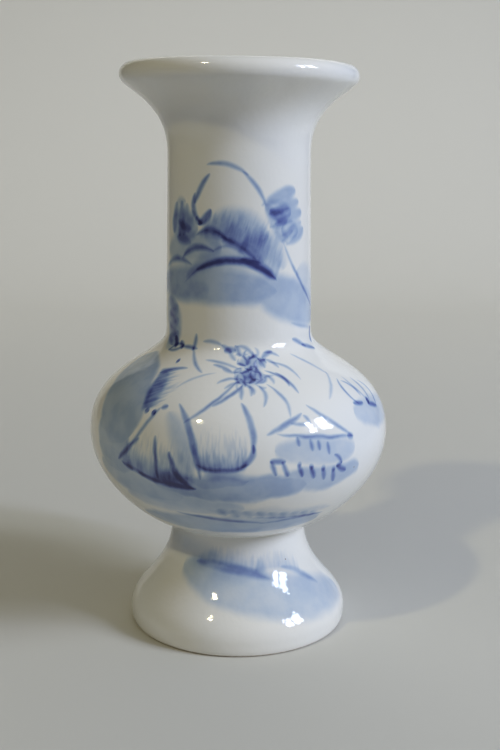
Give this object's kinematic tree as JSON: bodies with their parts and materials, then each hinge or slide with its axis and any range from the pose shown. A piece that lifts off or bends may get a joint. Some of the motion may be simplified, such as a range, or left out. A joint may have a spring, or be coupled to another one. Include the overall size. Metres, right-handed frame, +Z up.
{
  "type": "miniature porcelain vase",
  "caption": "Miniature hollow porcelain vase with a flared lip, a straight neck, a squashed round belly and a bell-shaped foot, painted in blue.",
  "frame": {"origin": "centre of the flat foot ring, on the surface that the vase stands on", "axes": "+Z up along the vase's axis, -Y towards the side with the main painting"},
  "size_m": [0.0538, 0.0538, 0.1],
  "materials": {
    "glaze": "glossy glaze over a painting in blue, bare on the foot ring"
  },
  "bodies": {
    "root": {"vase": "glaze"}
  },
  "joints": []
}
